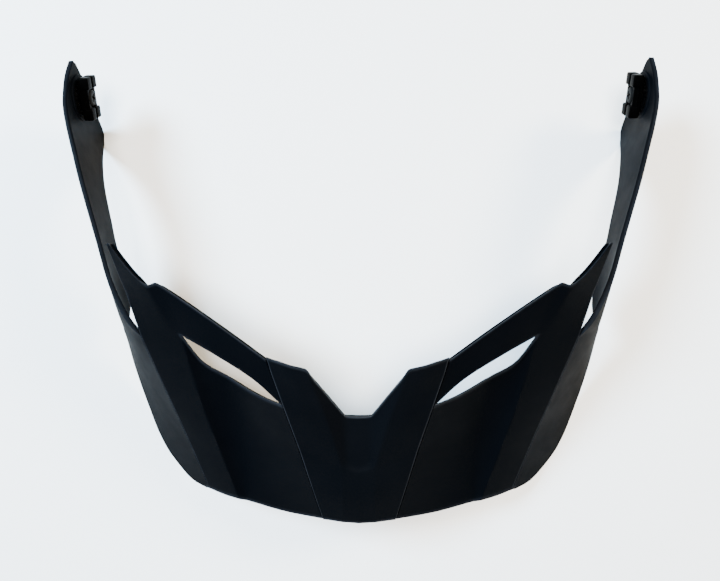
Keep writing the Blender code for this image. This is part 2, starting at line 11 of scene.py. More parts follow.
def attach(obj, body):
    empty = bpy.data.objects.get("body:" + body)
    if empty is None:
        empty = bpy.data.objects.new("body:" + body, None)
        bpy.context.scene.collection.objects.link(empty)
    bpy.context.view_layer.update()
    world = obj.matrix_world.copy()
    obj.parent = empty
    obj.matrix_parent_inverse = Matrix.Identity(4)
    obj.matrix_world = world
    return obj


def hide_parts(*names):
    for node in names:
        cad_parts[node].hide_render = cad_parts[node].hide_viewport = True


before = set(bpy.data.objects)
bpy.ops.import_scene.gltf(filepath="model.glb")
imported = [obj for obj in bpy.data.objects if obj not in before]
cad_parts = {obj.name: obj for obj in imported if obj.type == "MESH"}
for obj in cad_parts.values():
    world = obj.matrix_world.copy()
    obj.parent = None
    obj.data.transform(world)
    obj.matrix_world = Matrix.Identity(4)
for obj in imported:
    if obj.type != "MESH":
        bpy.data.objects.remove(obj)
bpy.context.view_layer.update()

MM = 0.001
FINE = 4                   # how many times finer the patches are than the part's own
GATHER = 0.6               # how strongly columns gather at the edges of a patch
WELD = 0.01                # vertices of neighbouring patches that lie this close are one
SAME_PLACE = 0.001
TINY = 1e-9
SHARP_ANGLE = math.radians(32.0)

# Walls and steps
BLADE_WALL = 2.0
ARM_WALL = 1.8
PANEL_WALL = 1.2
PANEL_PROUD = 0.8          # how far the panel stands above the blade
PANEL_INSET = 0.42         # from the panel's style line in to its side
PANEL_OVERHANG = 0.9       # how far the panel stands behind the blade at its rear edge
OVERHANG_REACH = 5.0       # distance from the rear edge over which the overhang fades
POCKET_DEPTH = 1.1         # recess in the blade under the panel
POCKET_WALL = 1.6
POCKET_INSET = 0.35        # from the panel's style line in to the recess's full depth
SEAM = 0.12                # gap that shows between the blade and an arm
RIM_RADIUS = 0.4
RIM_STEPS = 3
RIM_ROOM = 0.42            # largest share of the room beside a rim that its rounding takes
RIM_SHARE = 0.15           # how far a rim follows the smoothing beside it
NORMAL_ROUNDS = 6          # rounds of averaging, for a shell's directions, its wall and its underside
ARM_NORMAL_ROUNDS = 3
WALL_ROUNDS = 6
UNDERSIDE_ROUNDS = 4

# Fastenings; depths are below the outer surface
ARM_SEAT_ROWS = (2, 6)     # cells of the blade's side facets that hold the arms' screws
ARM_SEAT_COLUMN = 1
ARM_BOSS_RADIUS = 3.2
ARM_BOSS_TOP = 1.2
ARM_BOSS_END = 3.2
ARM_BOSS_ROUNDING = 0.35
TAB_TOP = 3.5
TAB_THICKNESS = 2.0
TAB_HALF_WIDTH = 4.0
TAB_INNER_REACH = 4.2
TAB_ROUNDING = 0.6
TAB_COVER = 0.6            # least skin of the arm over a tab's outer end
SCREW_RADIUS = 1.5
SCREW_HEAD_RADIUS = 2.9
SCREW_HEAD_HEIGHT = 1.6
SCREW_BORE = 1.8
SKIN_OVER_BORE = 1.0
PANEL_SEAT_ROW = 2         # cell of the panel's side field that holds its screw
PANEL_SEAT_COLUMN = 0
PANEL_BOSS_RADIUS = 2.5
PANEL_BOSS_TOP = 0.7
PANEL_BOSS_END = 3.6
PANEL_BOSS_ROUNDING = 0.3
PANEL_HOLE_LOW = -9.0      # heights between which the blade is cut for a panel boss
PANEL_HOLE_HIGH = 2.0
PANEL_SCREW_RADIUS = 1.0
PANEL_SCREW_HEAD_RADIUS = 3.6
PANEL_SCREW_HEAD_HEIGHT = 1.4
PANEL_SCREW_SEAT = 4.5
TIP_FLAT = 0.6             # share of the shank's radius
TIP_TAPER = 0.5
THREAD_START = 0.6         # from the tip to the first crest
THREAD_MARGIN = 0.7        # length of the shank that the thread leaves free
THREAD_PITCH = 0.6
THREAD_ROOT = 0.84         # share of the shank's radius
HEAD_FLAT = 0.8            # share of the head's radius
HEAD_CROWN = 0.3           # share of the head's height
HEAD_ROUNDING = 0.45
RECESS_DEPTH = 0.6         # share of the head's height
RECESS_REACH = 0.5         # shares of the head's radius
RECESS_HALF_WIDTH = 0.14
RECESS_ROUNDING = 0.45     # share of the recess's half width
CLEARANCE = 0.3
OVERCUT = 1.0              # how far a cutting tool passes the surface that it opens
SLIGHT = 0.1               # chamfer at the end of a bore

# Pivot at the end of each arm
PIVOT_Y = 73.6
PIVOT_Z = 25.0
PAD_FACE_X = 103.9
PAD_BOSS_RADIUS = 8.6
PAD_BOSS_RING = 7.6        # radius of an extra ring of edges in the boss's flat face
PAD_BOSS_ROOT_X = PAD_FACE_X + 0.4
PAD_BOSS_FACE_X = 107.3
PAD_BOSS_ROUNDING = 0.5
RING_OUTER = 6.7
RING_POCKET_DEPTH = 1.5
PLUG_LENGTH = 15.6
PLUG_HEIGHT = 9.0
PLUG_TILT = math.radians(25.0)
PLUG_FOOT_X = 103.6
PLUG_WEB_X = 100.4
PLUG_END_X = 99.6
PLUG_SEAT_X = 102.3
PLUG_SEAT_RADIUS = 3.6
WEB_INSET_ALONG = 0.6      # from the plug's outline in to its web
WEB_INSET_ACROSS = 0.5
WEB_ROUNDING = 0.35
LUMP_LENGTH = 4.4
LUMP_HALF_GAP = 0.45
LUMP_ROUNDING = 0.55
LUMP_FOOT_X = PLUG_FOOT_X - 0.4
BASE_INSET = 0.3           # the base joins the two lumps at one end of a plug
BASE_ROUNDING = 0.3
BASE_LOW_X = PLUG_END_X + 1.1
BASE_HIGH_X = PLUG_FOOT_X - 0.6
RIB_INSET_LOW = 0.9        # from the plug's outline in to a rib's inner and outer side
RIB_INSET_HIGH = 0.15
RIB_LOW_X = PLUG_WEB_X + 1.1
RIB_HIGH_X = PLUG_WEB_X + 1.9
RIB_OVERLAP = 0.5
RIB_ROUNDING = 0.25
PIVOT_HEAD_RADIUS = 3.0
PIVOT_HEAD_UNDER_X = 101.16
PIVOT_HEAD_HEIGHT = 1.2
PIVOT_TIP_X = 106.2
PIVOT_TIP_TAPER = 0.6
PIVOT_HEAD_TAPER = 0.4
PIVOT_ROUNDING = 0.3
PIVOT_RECESS = (0.7, 1.5, 0.42)   # depth, reach and half width of the driver recess

# Stage, in metres and watts
TABLE_HALF_WIDTH = 3.0
TABLE_DROP = 0.05 * MM     # the table's top lies just below the part
TABLE_COLOUR = (0.86, 0.86, 0.85, 1.0)
SKY_COLOUR = (0.93, 0.96, 1.0, 1.0)
SKY_STRENGTH = 0.2
LIGHT_TARGET = (0.0, 0.0, 0.02)
LIGHTS = [                 # name, place, diameter, power, colour
    ("window_left", (-0.80, 0.42, 0.92), 0.5, 76.0, (0.52, 0.76, 1.0)),
    ("window_right", (0.85, 0.45, 0.66), 0.35, 25.0, (1.0, 0.84, 0.60)),
    ("ceiling", (-0.05, 0.05, 1.35), 0.5, 44.0, (1.0, 0.97, 0.93)),
]
CAMERA_PLACE = (0.0053, 0.0011, 0.294)
CAMERA_TILT = math.radians(1.07)

# Style lines of the right half, from the brim (front) backwards
CENTRE_FRONT = [(0.0, -85.1, 27.0), (0.0, -74.0, 33.2), (0.0, -64.4, 37.2)]
CREASE_FRONT = [(6.0, -84.9, 26.5), (5.8, -73.5, 33.3), (5.8, -62.3, 38.0)]
CREASE_REAR = [(5.8, -62.3, 38.0), (10.5, -44.0, 47.4), (16.8, -25.6, 57.0)]
FLOOR_CENTRE = [(0.0, -61.5, 37.5), (0.0, -52.0, 41.0), (0.0, -42.8, 44.0)]
FLOOR_EDGE = [(3.9, -60.7, 37.8), (4.4, -52.0, 41.0), (4.6, -42.6, 44.1)]
PANEL_SIDE_FRONT = [(13.9, -84.3, 25.0), (17.6, -70.0, 32.3), (21.3, -55.5, 39.0)]
PANEL_SIDE_MIDDLE = [(21.3, -55.5, 39.0), (26.1, -38.3, 48.0)]
PANEL_SIDE_REAR = [(26.1, -38.3, 48.0), (30.9, -22.0, 54.0)]
SCOOP_FOOT = [(43.9, -80.7, 14.5), (45.6, -48.0, 27.0), (47.6, -29.2, 37.0)]
SCOOP_TOP = [(46.7, -80.0, 15.5), (51.7, -61.5, 23.4), (56.5, -43.3, 31.4), (61.6, -14.4, 45.6)]
SCOOP_TOP_REAR = [(61.6, -14.4, 45.6), (64.9, -5.0, 49.0), (68.7, 4.0, 52.0)]
RIDGE = [(59.4, -77.2, 10.5), (66.3, -54.2, 19.6), (73.1, -31.7, 30.0), (78.1, -15.3, 37.3)]
RIDGE_REAR = [(78.1, -15.3, 37.3), (80.0, -7.4, 40.0), (81.8, 0.0, 42.2)]
FIN_OUTER = [(81.8, 0.0, 42.2), (84.6, 9.6, 45.0), (87.0, 17.4, 46.9)]
FIN_INNER = [(71.7, 2.6, 51.3), (75.2, 5.2, 50.6), (80.6, 10.6, 49.0), (86.4, 17.6, 47.2)]
BRIM_FLOOR = [(13.9, -84.3, 25.0), (28.5, -83.4, 19.4), (43.9, -80.7, 14.5)]
BRIM_SCOOP = [(43.9, -80.7, 14.5), (46.7, -80.0, 15.5)]
BRIM_SIDE = [(46.7, -80.0, 15.5), (53.0, -78.9, 13.1), (59.4, -77.2, 10.5)]
LIP_FLOOR = [(26.1, -38.3, 48.0), (34.8, -35.6, 43.2), (41.2, -32.8, 39.6), (47.6, -29.2, 37.0)]
LIP_SCOOP = [(47.6, -29.2, 37.0), (54.6, -25.0, 39.0), (61.6, -14.4, 45.6)]
BAR_FRONT = [(26.1, -38.3, 48.0), (35.0, -30.0, 48.8), (48.6, -21.3, 48.4), (61.6, -14.4, 45.6)]
BAR_REAR = [(30.9, -22.0, 54.0), (42.6, -13.6, 53.7), (55.4, -4.7, 53.0), (68.7, 4.0, 52.0)]
REAR_PANEL = [(16.8, -25.6, 57.0), (23.0, -24.2, 56.6), (30.9, -22.0, 54.0)]
REAR_WALL = [(4.6, -42.6, 44.1), (10.9, -33.7, 50.8), (16.8, -25.6, 57.0)]
ARM_BOTTOM_FRONT = [
    (60.9, -77.2, 9.3), (67.4, -75.0, 5.6), (73.6, -70.0, 2.4), (78.7, -64.0, 1.0),
    (82.9, -56.2, 0.6), (86.0, -47.5, 1.5), (90.2, -30.7, 6.3), (92.3, -14.0, 13.5),
]
ARM_TOP_REAR = [
    (82.5, -10.8, 38.0), (86.8, -3.0, 38.3), (90.3, 5.9, 38.5), (93.4, 17.9, 39.3),
    (95.5, 26.0, 40.0), (99.5, 40.1, 40.0), (102.3, 50.8, 39.5), (104.6, 59.7, 39.0),
    (106.3, 67.8, 38.0), (106.7, 74.0, 36.6), (107.0, 79.5, 34.4), (107.1, 85.8, 30.6),
]
ARM_BOTTOM_REAR = [
    (92.1, -9.0, 12.8), (92.0, -2.6, 12.2), (92.7, 5.0, 14.2), (94.8, 18.0, 19.6),
    (96.3, 26.5, 20.5), (99.9, 41.0, 18.4), (102.9, 51.5, 12.0), (106.9, 61.0, 0.0),
    (107.1, 65.6, 0.0), (106.3, 71.0, 9.5), (106.3, 79.0, 20.5), (107.0, 85.4, 28.8),
]
ARM_BULGE = 2.4
ARM_BULGE_Y = -8.0
ARM_BULGE_SPREAD = 18.0
EDGE_REACH = 6.0           # how far an arm's inner surface is drawn on past its edges, to be trimmed
EDGE_TURN = 4.0            # length over which an arm's top edge turns from facing up to facing inwards
INSIDE_LEAST = 0.5         # least width of an arm's inner surface

# Rows and columns of the patches, which FINE multiplies; all but the arm's are the part's own
ROWS_FRONT = 5
ROWS_MIDDLE = 3
ROWS_REAR = 4
ROWS_FIN = 5
ROWS_TO_SLIT = ROWS_FRONT + ROWS_MIDDLE
ROWS_VALLEY = ROWS_MIDDLE + ROWS_REAR
COLUMNS_VALLEY = 2
COLUMNS_FIELD = 3
COLUMNS_FLOOR = 5
COLUMNS_SCOOP = 3
COLUMNS_BAR = 8
COLUMNS_NOTCH = 1
COLUMNS_FIN = 2
COLUMNS_SIDE = COLUMNS_NOTCH + COLUMNS_FIN
ARM_ROWS_FRONT = 7
ARM_COLUMNS = 4


# --- curves and patches ---

def spread(count):
    """Shares from 0 to 1 that lie closer together at both ends."""
    turn = 2.0 * math.pi
    return [i / count - GATHER * math.sin(turn * i / count) / turn for i in range(count + 1)]


def even(count):
    return [i / count for i in range(count + 1)]


def ease(share):
    """Share that starts and ends with no slope."""
    return share * share * (3.0 - 2.0 * share)


def line_through(points, shares):
    """Points at the given shares of a smooth curve's length, through all of `points`."""
    points = [Vector(p) for p in points]
    spans = [b - a for a, b in zip(points, points[1:])]
    chords = [span.length for span in spans]
    slopes = [span / chord for span, chord in zip(spans, chords)]
    tangents = [slopes[0]]
    for i in range(1, len(slopes)):
        weight = chords[i] / (chords[i - 1] + chords[i])
        tangents.append(slopes[i - 1] * weight + slopes[i] * (1.0 - weight))
    tangents.append(slopes[-1])
    total = sum(chords)
    result = []
    for share in shares:
        along = total * share
        i = 0
        while i < len(chords) - 1 and along > chords[i]:
            along -= chords[i]
            i += 1
        s = min(along / chords[i], 1.0)
        start = points[i] + (points[i + 1] - points[i]) * ease(s)
        leave = tangents[i] * (s * (1.0 - s) ** 2)
        arrive = tangents[i + 1] * (s * s * (s - 1.0))
        result.append(start + (leave + arrive) * chords[i])
    return result


def through_points(points, steps):
    """Smooth line with `steps` points from each point to the next, so that two such lines stay paired."""
    points = [Vector(p) for p in points]
    result = [points[0]]
    for i in range(len(points) - 1):
        before = points[max(i - 1, 0)]
        after = points[min(i + 2, len(points) - 1)]
        a, b = points[i], points[i + 1]
        chord = (b - a).length
        leave = (b - before).normalized() * chord
        arrive = (after - a).normalized() * chord
        for step in range(1, steps + 1):
            s = step / steps
            bend = leave * (s * (1.0 - s) ** 2) + arrive * (s * s * (s - 1.0))
            result.append(a.lerp(b, ease(s)) + bend)
    return result


def rows_along(points, rows):
    return line_through(points, even(rows * FINE))


def columns_across(points, columns):
    return line_through(points, spread(columns * FINE))


def straight(start, end, columns):
    return [start.lerp(end, share) for share in spread(columns * FINE)]


def patch(south, north, west, east):
    """Grid of points stretched between four edge curves; its rows run from south to north."""
    rows, columns = len(west) - 1, len(south) - 1
    grid = []
    for j in range(rows + 1):
        v = j / rows
        line = []
        for i, u in enumerate(spread(columns)):
            across = south[i].lerp(north[i], v)
            along = west[j].lerp(east[j], u)
            corners = south[0].lerp(south[-1], u).lerp(north[0].lerp(north[-1], u), v)
            line.append(across + along - corners)
        grid.append(line)
    return grid


def shifted(points, x=0.0, z=0.0):
    return [Vector(p) + Vector((x, 0.0, z)) for p in points]


def centre_patches(inset, lift):
    """Right half of the centre field with its valley, narrowed by `inset` and moved up by `lift`."""
    def lifted(points):
        return shifted(points, z=lift)

    centre = rows_along(lifted(CENTRE_FRONT), ROWS_FRONT)
    crease = rows_along(lifted(CREASE_FRONT), ROWS_FRONT)
    crease_rear = rows_along(lifted(CREASE_REAR), ROWS_VALLEY)
    edge = rows_along(shifted(PANEL_SIDE_FRONT, -inset, lift), ROWS_FRONT)
    edge_rear = rows_along(shifted(PANEL_SIDE_MIDDLE, -inset, lift), ROWS_MIDDLE)
    edge_rear += rows_along(shifted(PANEL_SIDE_REAR, -inset, lift), ROWS_REAR)[1:]
    floor_centre = rows_along(lifted(FLOOR_CENTRE), ROWS_VALLEY)
    floor_edge = rows_along(lifted(FLOOR_EDGE), ROWS_VALLEY)
    valley_front = straight(centre[-1], crease[-1], COLUMNS_VALLEY)
    valley_foot = straight(floor_centre[0], floor_edge[0], COLUMNS_VALLEY)
    valley_rear = straight(floor_centre[-1], floor_edge[-1], COLUMNS_VALLEY)
    beside_valley = straight(crease[-1], edge[-1], COLUMNS_FIELD)
    rear = columns_across(lifted(REAR_PANEL[:-1]) + [edge_rear[-1]], COLUMNS_FIELD)
    corner = straight(floor_edge[0], crease[-1], COLUMNS_FIELD)
    front_field = patch(straight(centre[0], crease[0], COLUMNS_VALLEY), valley_front, centre, crease)
    side_field = patch(straight(crease[0], edge[0], COLUMNS_FIELD), beside_valley, crease, edge)
    rear_field = patch(beside_valley, rear, crease_rear, edge_rear)
    wall = patch(corner, columns_across(lifted(REAR_WALL), COLUMNS_FIELD), floor_edge, crease_rear)
    floor = patch(valley_foot, valley_rear, floor_centre, floor_edge)
    step = patch(valley_front, valley_foot, straight(centre[-1], floor_centre[0], COLUMNS_FIELD),
                 straight(crease[-1], floor_edge[0], COLUMNS_FIELD))
    return [front_field, side_field, rear_field, wall, floor, step]


def facet_patches():
    """Right half of the blade's facets outside the centre field."""
    panel_side = rows_along(PANEL_SIDE_FRONT, ROWS_FRONT) + rows_along(PANEL_SIDE_MIDDLE, ROWS_MIDDLE)[1:]
    panel_side_rear = rows_along(PANEL_SIDE_REAR, ROWS_REAR)
    scoop_foot = rows_along(SCOOP_FOOT, ROWS_TO_SLIT)
    scoop_top = rows_along(SCOOP_TOP, ROWS_TO_SLIT)
    scoop_rear = rows_along(SCOOP_TOP_REAR, ROWS_REAR)
    ridge = rows_along(RIDGE, ROWS_TO_SLIT)
    ridge_rear = rows_along(RIDGE_REAR, ROWS_REAR)
    fin_outer = rows_along(FIN_OUTER, ROWS_FIN)
    notch = Vector(FIN_INNER[0])
    across_side = straight(scoop_top[-1], ridge[-1], COLUMNS_SIDE)
    notch_step = straight(scoop_rear[-1], notch, COLUMNS_NOTCH)
    fin_root = straight(notch, ridge_rear[-1], COLUMNS_FIN)
    fin_tip = straight(Vector(FIN_INNER[-1]), fin_outer[-1], COLUMNS_FIN)

    def facet(front, rear, columns, west, east):
        return patch(columns_across(front, columns), columns_across(rear, columns), west, east)

    return {
        "floor": facet(BRIM_FLOOR, LIP_FLOOR, COLUMNS_FLOOR, panel_side, scoop_foot),
        "scoop": facet(BRIM_SCOOP, LIP_SCOOP, COLUMNS_SCOOP, scoop_foot, scoop_top),
        "side": patch(columns_across(BRIM_SIDE, COLUMNS_SIDE), across_side, scoop_top, ridge),
        "side_rear": patch(across_side, notch_step[:-1] + fin_root, scoop_rear, ridge_rear),
        "bar": facet(BAR_FRONT, BAR_REAR, COLUMNS_BAR, panel_side_rear, scoop_rear),
        "fin": patch(fin_root, fin_tip, rows_along(FIN_INNER, ROWS_FIN), fin_outer),
    }


def pocket_strip():
    """Strip beside the panel where the blade steps down into its recess, still level."""
    def side(inset):
        lines = [rows_along(shifted(points, -inset), rows) for points, rows in (
            (PANEL_SIDE_FRONT, ROWS_FRONT), (PANEL_SIDE_MIDDLE, ROWS_MIDDLE), (PANEL_SIDE_REAR, ROWS_REAR))]
        return lines[0] + lines[1][1:] + lines[2][1:]

    return [[a, b] for a, b in zip(side(POCKET_INSET), side(0.0))]


def arm_patch():
    """Outer surface of the right arm, from the brim to its tip."""
    top = rows_along(shifted(RIDGE, SEAM, -SEAM / 2), ARM_ROWS_FRONT)
    bottom = rows_along(ARM_BOTTOM_FRONT, ARM_ROWS_FRONT)
    top += through_points([top[-1]] + ARM_TOP_REAR, FINE)[1:]
    bottom += through_points([bottom[-1]] + ARM_BOTTOM_REAR, FINE)[1:]
    brim = straight(top[0], bottom[0], ARM_COLUMNS)
    tip = straight(top[-1], bottom[-1], ARM_COLUMNS)
    grid = patch(brim, tip, top, bottom)
    shares = spread(ARM_COLUMNS * FINE)
    for line in grid:
        for share, point in zip(shares, line):
            across = 4.0 * share * (1.0 - share)     # 0 at both edges, 1 midway
            away = (point.y - ARM_BULGE_Y) / ARM_BULGE_SPREAD
            point.x += ARM_BULGE * across * math.exp(-away * away)
    return grid


def frame_at(origin, z_axis, x_axis):
    """Right-handed frame in metres from an origin in millimetres and two directions."""
    z_axis = Vector(z_axis).normalized()
    y_axis = z_axis.cross(Vector(x_axis)).normalized()
    x_axis = y_axis.cross(z_axis)
    turn = Matrix((x_axis, y_axis, z_axis)).transposed().to_4x4()
    return Matrix.Translation(Vector(origin) * MM) @ turn


def seat(grid, row, column, side):
    """Frame in the middle of one cell of the part's own coarse patch, on the right (1) or left (-1) half."""
    low, high = grid[row * FINE], grid[(row + 1) * FINE]
    columns = (len(low) - 1) // FINE

    def at(line, share):
        return line[0].lerp(line[-1], share)

    a, b = at(low, column / columns), at(low, (column + 1) / columns)
    d, c = at(high, column / columns), at(high, (column + 1) / columns)
    middle = (a + b + c + d) / 4.0
    normal = (c - a).cross(d - b).normalized()
    across = ((b + c) - (a + d)).normalized()
    flip = Vector((side, 1.0, 1.0))
    return frame_at(middle * flip, normal * flip, across * flip)


def arm_seats(facets, side):
    return [seat(facets["side"], row, ARM_SEAT_COLUMN, side) for row in ARM_SEAT_ROWS]


def panel_seat(side):
    side_field = centre_patches(PANEL_INSET, PANEL_PROUD)[1]
    return seat(side_field, PANEL_SEAT_ROW, PANEL_SEAT_COLUMN, side)


def pivot_frame(side):
    """Frame on a pivot's axis; its Z points outwards and equals the distance from the middle plane."""
    return frame_at((0.0, PIVOT_Y, PIVOT_Z), (side, 0.0, 0.0), (0.0, side, 0.0))


# --- shells ---

class Sheet:
    """Open surface in millimetres, as arrays, that becomes a closed shell.

    `on_rim` tells which points lie on its edge, and `loops` lists them in order. `links` pairs each
    point with its neighbours, on the rim only with those along it, and `count` says how many.
    """

    def __init__(self, grids, mirrored):
        bm = bmesh.new()
        for grid in grids:
            points = [[bm.verts.new(p) for p in line] for line in grid]
            for lower, upper in zip(points, points[1:]):
                for i in range(len(lower) - 1):
                    bm.faces.new((lower[i], lower[i + 1], upper[i + 1], upper[i]))
        if mirrored:
            whole = bmesh.ops.duplicate(bm, geom=bm.verts[:] + bm.edges[:] + bm.faces[:])["geom"]
            for item in whole:
                if isinstance(item, bmesh.types.BMVert):
                    item.co.x = -item.co.x
            bmesh.ops.reverse_faces(bm, faces=[f for f in whole if isinstance(f, bmesh.types.BMFace)])
        bmesh.ops.remove_doubles(bm, verts=bm.verts, dist=WELD)
        bm.verts.index_update()
        self.points = np.array([v.co for v in bm.verts], float)
        self.faces = [[v.index for v in f.verts] for f in bm.faces]
        edges = np.array([[v.index for v in e.verts] for e in bm.edges])
        rim = np.array([e.is_boundary for e in bm.edges])
        self.on_rim = np.zeros(len(self.points), bool)
        self.on_rim[edges[rim].ravel()] = True
        self.loops = self.rim_loops(bm)
        both = np.vstack([edges, edges[:, ::-1]])
        keep = ~self.on_rim[both[:, 0]] | np.concatenate([rim, rim])
        self.links = both[keep]
        self.count = np.bincount(self.links[:, 0], minlength=len(self.points))[:, None]
        bm.free()

    def rim_loops(self, bm):
        """Closed loops of vertex numbers round each edge of the surface, with the surface on the left."""
        follow = {}
        for edge in bm.edges:
            if edge.is_boundary:
                loop = edge.link_loops[0]
                follow[loop.vert.index] = loop.link_loop_next.vert.index
        loops = []
        while follow:
            start, step = follow.popitem()
            loop = [start]
            while step != start:
                loop.append(step)
                step = follow.pop(step)
            loops.append(loop)
        return loops

    def average(self, values):
        """Mean of each vertex's neighbours; a vertex on the rim looks only along the rim."""
        total = np.zeros_like(values)
        np.add.at(total, self.links[:, 0], values[self.links[:, 1]])
        return total / self.count

    def relax(self, weight, rounds, rim_share=RIM_SHARE):
        """Evens the surface out where `weight` says, and along its rim by `rim_share` of that."""
        weight = np.where(self.on_rim, rim_share * weight, weight)[:, None]
        for _ in range(rounds):
            self.points += weight * (self.average(self.points) - self.points)

    def near(self, lines, reach):
        """Weight from 1 on the lines to 0 at `reach` from them, on both halves."""
        places = np.array([p for line in lines for p in line], float)
        places = np.vstack([places, places * (-1.0, 1.0, 1.0)])
        nearest = np.full(len(self.points), np.inf)
        for place in places:
            nearest = np.minimum(nearest, ((self.points - place) ** 2).sum(axis=1))
        return ease(np.clip(1.0 - np.sqrt(nearest) / reach, 0.0, 1.0))

    def normals(self, rounds):
        """Unit normals at the vertices, evened out over `rounds` rings of neighbours."""
        total = np.zeros_like(self.points)
        for face in self.faces:
            a, b, c, d = self.points[face + face[:4 - len(face)]]     # a triangle's first point counts twice
            total[face] += np.cross(c - a, d - b)
        total /= np.maximum(np.linalg.norm(total, axis=1, keepdims=True), TINY)
        for _ in range(rounds):
            total = total + self.average(total)
            total /= np.linalg.norm(total, axis=1, keepdims=True)
        return total

    def closed(self, top, bottom):
        """Closed shell between the top and bottom points, with a rounded rim.

        Returns its points, its faces, and an array that is 1 on the rim's upper rounding.
        """
        top, bottom = top.copy(), bottom.copy()
        count = len(top)
        faces = [list(face) for face in self.faces]
        faces += [[count + i for i in reversed(face)] for face in self.faces]
        inner = self.inward(top)
        rings = {}
        for i in np.flatnonzero(self.on_rim):
            down = bottom[i] - top[i]
            depth = np.linalg.norm(down)
            down /= depth
            inward, room = inner[i]
            r = min(RIM_RADIUS, RIM_ROOM * room, RIM_ROOM * depth)
            high, low = top[i].copy(), bottom[i].copy()
            ring = []
            for end, way in ((high, down), (low, -down)):
                arc = []
                for step in range(RIM_STEPS + 1):
                    angle = math.pi / 2 * step / RIM_STEPS
                    in_by, down_by = 1.0 - math.sin(angle), 1.0 - math.cos(angle)
                    arc.append(end + inward * r * in_by + way * r * down_by)
                ring.append(arc)
            top[i], bottom[i] = ring[0][0], ring[1][0]
            rings[i] = ring[0][1:] + ring[1][:0:-1]
        verts = list(top) + list(bottom)
        number = {}
        for i, ring in rings.items():
            number[i] = [i, *range(len(verts), len(verts) + len(ring)), count + i]
            verts += ring
        for loop in self.loops:
            for a, b in zip(loop, loop[1:] + loop[:1]):
                for k in range(2 * RIM_STEPS + 1):
                    faces.append([number[b][k], number[a][k], number[a][k + 1], number[b][k + 1]])
        rim = np.zeros(len(verts))
        for ring in number.values():
            rim[ring[:RIM_STEPS + 1]] = 1.0
        return verts, faces, rim

    def inward(self, points):
        """At each vertex on the rim, the direction into the surface and how far the next vertex is."""
        flat = self.normals(0)
        beside = {}
        for a, b in self.links:
            if self.on_rim[b] and not self.on_rim[a]:
                beside.setdefault(b, []).append(a)
        result = {}
        for loop in self.loops:
            for before, here, after in zip(loop[-1:] + loop[:-1], loop, loop[1:] + loop[:1]):
                along = points[after] - points[before]
                way = np.cross(flat[here], along)
                way /= max(np.linalg.norm(way), TINY)
                next_to = beside.get(here, [])
                if next_to and (points[next_to].mean(axis=0) - points[here]) @ way < 0.0:
                    way = -way
                room = [abs((points[j] - points[here]) @ way) for j in next_to]
                result[here] = (way, min(room, default=RIM_RADIUS / 2))
        return result


def placed(name, data):
    """New object in the scene."""
    made = bpy.data.objects.new(name, data)
    bpy.context.scene.collection.objects.link(made)
    return made


def mesh_object(name, verts, faces, rim, surface, side=1):
    """Object in metres from points in millimetres, mirrored by `side` -1, and where its `rim` points are."""
    mesh = bpy.data.meshes.new(name)
    scale = np.array((side * MM, MM, MM))
    if side < 0:
        faces = [face[::-1] for face in faces]
    mesh.from_pydata([tuple(np.asarray(v) * scale) for v in verts], [], faces)
    mesh.materials.append(surface)
    return placed(name, mesh), [mesh.vertices[i].co.copy() for i in np.flatnonzero(rim)]


def smooth(piece):
    piece.data.shade_smooth()
    piece.data.set_sharp_from_angle(angle=SHARP_ANGLE)
    return piece


def finished(piece, edge):
    """Smooth shading, and a mark on the vertices that lie at the places in `edge`, which the material paints
    with a pale edge highlight.
    """
    tree = KDTree(len(edge))
    for i, place in enumerate(edge):
        tree.insert(place, i)
    tree.balance()
    marks = [float(tree.find(v.co)[2] < SAME_PLACE * MM) for v in piece.data.vertices]
    piece.data.attributes.new("rim", "FLOAT", "POINT").data.foreach_set("value", marks)
    return smooth(piece)


# --- solids ---

def turned(name, profile, place, surface, segments=48):
    """Turned solid in metres: the profile runs from one pole to the other, as (radius, height)."""
    bm = bmesh.new()
    points = [bm.verts.new((r * MM, 0.0, z * MM)) for r, z in profile]
    edges = [bm.edges.new(pair) for pair in zip(points, points[1:])]
    bmesh.ops.spin(bm, geom=points + edges, cent=(0, 0, 0), axis=(0, 0, 1), angle=2 * math.pi,
                   steps=segments, use_merge=True)
    bmesh.ops.remove_doubles(bm, verts=bm.verts, dist=SAME_PLACE * MM)
    bmesh.ops.recalc_face_normals(bm, faces=bm.faces)
    bm.transform(place)
    return from_bmesh(name, bm, surface)


def from_bmesh(name, bm, surface):
    mesh = bpy.data.meshes.new(name)
    bm.to_mesh(mesh)
    bm.free()
    mesh.materials.append(surface)
    return placed(name, mesh)


def rounded(profile, radius, steps=4):
    """A profile with its inner corners rounded, each by at most 0.45 of the lines beside it."""
    result = [profile[0]]
    for before, corner, after in zip(profile, profile[1:], profile[2:]):
        here = Vector(corner)
        back, on = Vector(before) - here, Vector(after) - here
        reach = min(radius, 0.45 * back.length, 0.45 * on.length)
        start, end = here + back.normalized() * reach, here + on.normalized() * reach
        for step in range(steps + 1):
            s = step / steps
            result.append(tuple(start.lerp(here, s).lerp(here.lerp(end, s), s)))
    result.append(profile[-1])
    return result


def block(name, place, low, high, radius, surface, steps=3):
    """Closed box with rounded edges between two corners in a frame."""
    low, high = Vector(low), Vector(high)
    bm = bmesh.new()
    matrix = Matrix.Translation((low + high) / 2 * MM) @ Matrix.Diagonal((high - low) * MM).to_4x4()
    bmesh.ops.create_cube(bm, size=1.0, matrix=matrix)
    bmesh.ops.bevel(bm, geom=bm.edges[:], offset=radius * MM, segments=steps, affect="EDGES", profile=0.5)
    bm.transform(place)
    return from_bmesh(name, bm, surface)


def rod_profile(radius, low, high, edge=0.2):
    """Profile of a rod between two heights, with chamfered ends."""
    return [(0.0, high), (radius - edge, high), (radius, high - edge),
            (radius, low + edge), (radius - edge, low), (0.0, low)]


